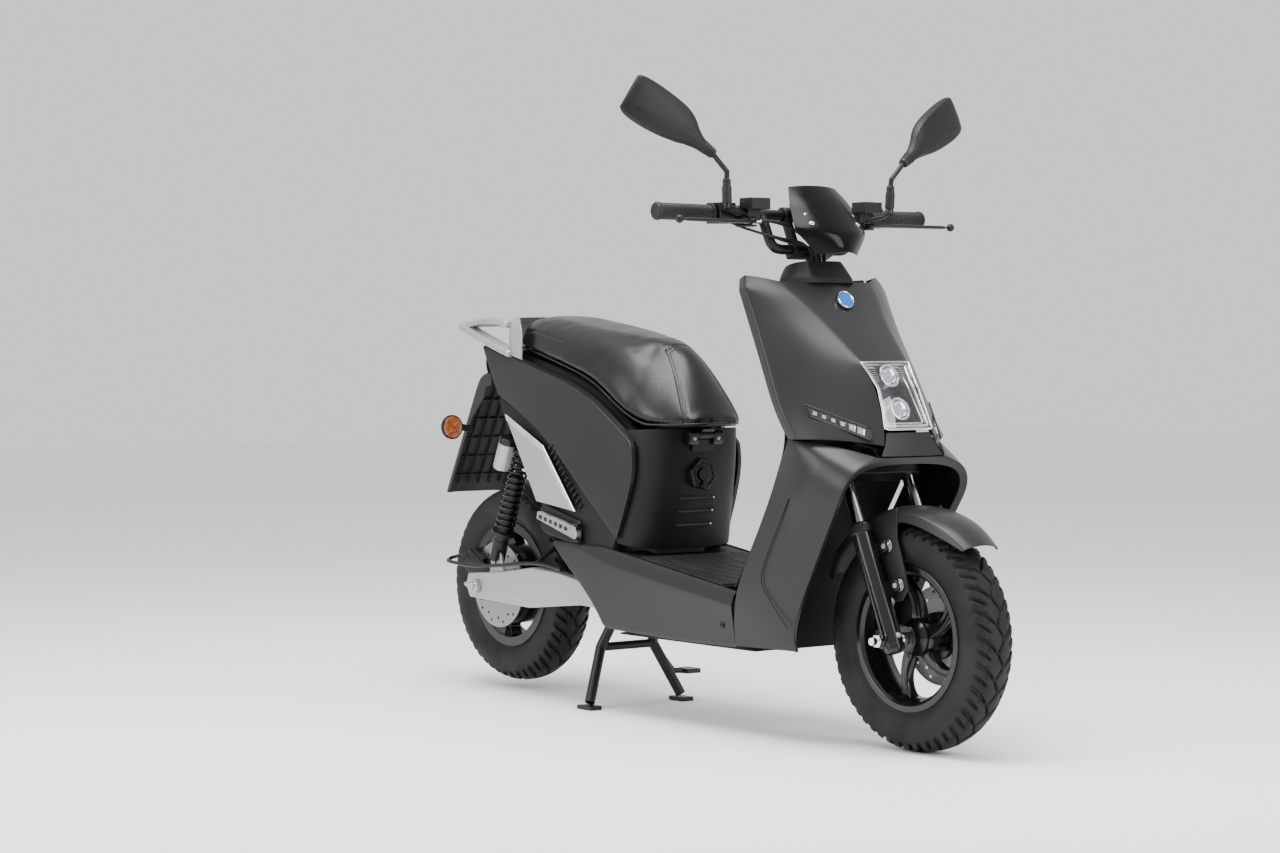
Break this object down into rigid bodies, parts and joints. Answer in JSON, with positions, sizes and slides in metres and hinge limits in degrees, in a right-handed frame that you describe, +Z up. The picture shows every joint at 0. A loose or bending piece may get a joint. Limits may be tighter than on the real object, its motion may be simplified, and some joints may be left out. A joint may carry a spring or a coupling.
{
  "type": "moped scooter",
  "caption": "Step-through moped scooter on its centre stand, with a faceted front shield, flat floor, long two-level seat, rear rack rail and ten-inch wheels.",
  "frame": {"origin": "on the ground, midway between the two axles, on the centre plane", "axes": "+X forwards, +Y to the rider's left, +Z up"},
  "size_m": [1.72, 0.8622, 1.257],
  "materials": {
    "paint": "satin graphite",
    "frame_steel": "satin black",
    "dark_plastic": "grained matte",
    "gloss_black": "gloss",
    "clear_lens": "clear polished",
    "reflector_chrome": "bright",
    "mat_rubber": "textured matte",
    "seat_vinyl": "grained vinyl",
    "silver": "satin silver",
    "steel": "machined",
    "disc_steel": "turned",
    "wheel_black": "gloss black",
    "tyre_rubber": "moulded",
    "grip_rubber": "ribbed",
    "bar_black": "satin black",
    "mirror_shell": "fine grain",
    "hose_rubber": "smooth",
    "coil_black": "gloss black",
    "battery_case": "moulded",
    "button_plastic": "moulded"
  },
  "bodies": {
    "root": {"main_frame": "frame_steel", "pins_and_bearings": "steel", "front_shield": "paint", "leg_shield_outer": "paint", "headlight_unit": "reflector_chrome", "wheel_well_liner": "dark_plastic", "leg_shield_inner": "dark_plastic", "floorboard": "dark_plastic", "floor_mat": "mat_rubber", "side_skirts": "paint", "seat_column": "dark_plastic", "lock_and_port": "gloss_black", "electrics": "battery_case", "storage_bucket": "dark_plastic", "tail_panels": "paint", "side_trims": "dark_plastic", "silver_inserts": "silver", "rear_mudguard": "dark_plastic", "grab_rail": "silver", "lamp_lenses": "clear_lens"},
    "ignition_key": {"ignition_key": "steel"},
    "charge_cap": {"charge_cap": "gloss_black"},
    "footpeg_left": {"footpeg_left": "silver"},
    "footpeg_right": {"footpeg_right": "silver"},
    "seat": {"seat_base": "dark_plastic", "seat_cushion": "seat_vinyl"},
    "steering": {"steering_stem": "bar_black", "handlebar": "bar_black", "left_grip": "grip_rubber", "bar_controls": "bar_black", "flyscreen": "gloss_black", "dash_display": "dark_plastic", "fork_stanchions": "wheel_black", "brake_hoses": "hose_rubber"},
    "throttle": {"throttle_grip": "grip_rubber"},
    "brake_lever_left": {"brake_lever_left": "bar_black"},
    "brake_lever_right": {"brake_lever_right": "bar_black"},
    "mirror_left": {"mirror_left": "mirror_shell"},
    "mirror_right": {"mirror_right": "mirror_shell"},
    "horn_button": {"horn_button": "button_plastic"},
    "start_button": {"start_button": "button_plastic"},
    "indicator_switch": {"indicator_switch": "button_plastic"},
    "fork_lowers": {"fork_lowers": "wheel_black", "front_fender": "paint", "front_axle": "steel", "front_caliper": "bar_black"},
    "front_wheel": {"front_tyre": "tyre_rubber", "front_rim": "wheel_black", "front_disc": "disc_steel"},
    "swingarm": {"swingarm": "silver", "hugger": "dark_plastic", "motor_stator": "steel", "rear_caliper": "bar_black"},
    "rear_wheel": {"rear_tyre": "tyre_rubber", "rear_rim": "wheel_black", "rear_disc": "disc_steel"},
    "shock_uppers": {"shock_uppers": "silver", "shock_springs": "coil_black"},
    "shock_lowers": {"shock_lowers": "silver"},
    "centre_stand": {"centre_stand": "frame_steel"}
  },
  "joints": [
    {"name": "steering", "type": "hinge", "parent": "root", "child": "steering", "pos_m": [0.655, 0, 0.215], "axis": [-0.4067, 0, 0.9135], "range_deg": [-33, 33]},
    {"name": "fork_travel", "type": "slide", "parent": "steering", "child": "fork_lowers", "axis": [-0.4067, 0, 0.9135], "range_m": [0, 0.05], "stiffness_N_per_m": 12000, "springref_m": -0.06},
    {"name": "front_wheel_spin", "type": "hinge", "parent": "fork_lowers", "child": "front_wheel", "pos_m": [0.645, 0, 0.215], "axis": [0, 1, 0], "continuous": true},
    {"name": "swingarm_pivot", "type": "hinge", "parent": "root", "child": "swingarm", "pos_m": [-0.195, 0, 0.233], "axis": [0, 1, 0], "range_deg": [0, 7], "stiffness_Nm_per_rad": 900, "springref_deg": -11.46},
    {"name": "rear_wheel_spin", "type": "hinge", "parent": "swingarm", "child": "rear_wheel", "pos_m": [-0.645, 0, 0.232], "axis": [0, 1, 0], "continuous": true},
    {"name": "shock_pivot", "type": "hinge", "parent": "root", "child": "shock_uppers", "pos_m": [-0.48, 0, 0.563], "axis": [0, 1, 0], "range_deg": [0, 2.2]},
    {"name": "shock_travel", "type": "slide", "parent": "shock_uppers", "child": "shock_lowers", "axis": [0.3859, 0, 0.9226], "range_m": [0, 0.05], "deforming": ["shock_springs"]},
    {"name": "centre_stand_fold", "type": "hinge", "parent": "root", "child": "centre_stand", "pos_m": [-0.24, 0, 0.185], "axis": [0, 1, 0], "range_deg": [0, 75]},
    {"name": "seat_open", "type": "hinge", "parent": "root", "child": "seat", "pos_m": [0.001, 0, 0.579], "axis": [0, 1, 0], "range_deg": [0, 75]},
    {"name": "charge_cap_open", "type": "hinge", "parent": "root", "child": "charge_cap", "pos_m": [0.0005, 0, 0.473], "axis": [0, 1, 0], "range_deg": [0, 110]},
    {"name": "key_turn", "type": "hinge", "parent": "root", "child": "ignition_key", "pos_m": [0.282, -0.06, 0.8], "axis": [-1, 0, 0], "range_deg": [0, 90]},
    {"name": "footpeg_left_fold", "type": "hinge", "parent": "root", "child": "footpeg_left", "pos_m": [-0.226, 0.159, 0.372], "axis": [0, 0, -1], "range_deg": [0, 80]},
    {"name": "footpeg_right_fold", "type": "hinge", "parent": "root", "child": "footpeg_right", "pos_m": [-0.226, -0.159, 0.372], "axis": [0, 0, 1], "range_deg": [0, 80]},
    {"name": "throttle_twist", "type": "hinge", "parent": "steering", "child": "throttle", "pos_m": [0.28119, -0.25922, 1.0172], "axis": [-0.0876, -0.9961, 0.0097], "range_deg": [0, 70], "stiffness_Nm_per_rad": 0.4, "springref_deg": -28.65},
    {"name": "brake_lever_left_pull", "type": "hinge", "parent": "steering", "child": "brake_lever_left", "pos_m": [0.326, 0.152, 1], "axis": [0, 0, 1], "range_deg": [0, 14], "stiffness_Nm_per_rad": 3, "springref_deg": -11.46},
    {"name": "brake_lever_right_pull", "type": "hinge", "parent": "steering", "child": "brake_lever_right", "pos_m": [0.326, -0.152, 1], "axis": [0, 0, -1], "range_deg": [0, 14], "stiffness_Nm_per_rad": 3, "springref_deg": -11.46},
    {"name": "mirror_left_pan", "type": "hinge", "parent": "steering", "child": "mirror_left", "pos_m": [0.328, 0.248, 1.128], "axis": [0, 0, 1], "range_deg": [-15, 15]},
    {"name": "mirror_right_pan", "type": "hinge", "parent": "steering", "child": "mirror_right", "pos_m": [0.328, -0.248, 1.128], "axis": [0, 0, 1], "range_deg": [-15, 15]},
    {"name": "horn_press", "type": "slide", "parent": "steering", "child": "horn_button", "axis": [1, 0, 0], "range_m": [0, 0.002], "stiffness_N_per_m": 400, "springref_m": -0.002},
    {"name": "start_press", "type": "slide", "parent": "steering", "child": "start_button", "axis": [1, 0, 0], "range_m": [0, 0.002], "stiffness_N_per_m": 400, "springref_m": -0.002},
    {"name": "indicator_slide", "type": "slide", "parent": "steering", "child": "indicator_switch", "axis": [0, 1, 0], "range_m": [-0.004, 0.004], "stiffness_N_per_m": 300}
  ],
  "couplings": [
    {"joint": "shock_pivot", "follows": "swingarm_pivot", "ratio": 0.28},
    {"joint": "shock_travel", "follows": "swingarm_pivot", "m_per_rad": 0.3936}
  ]
}
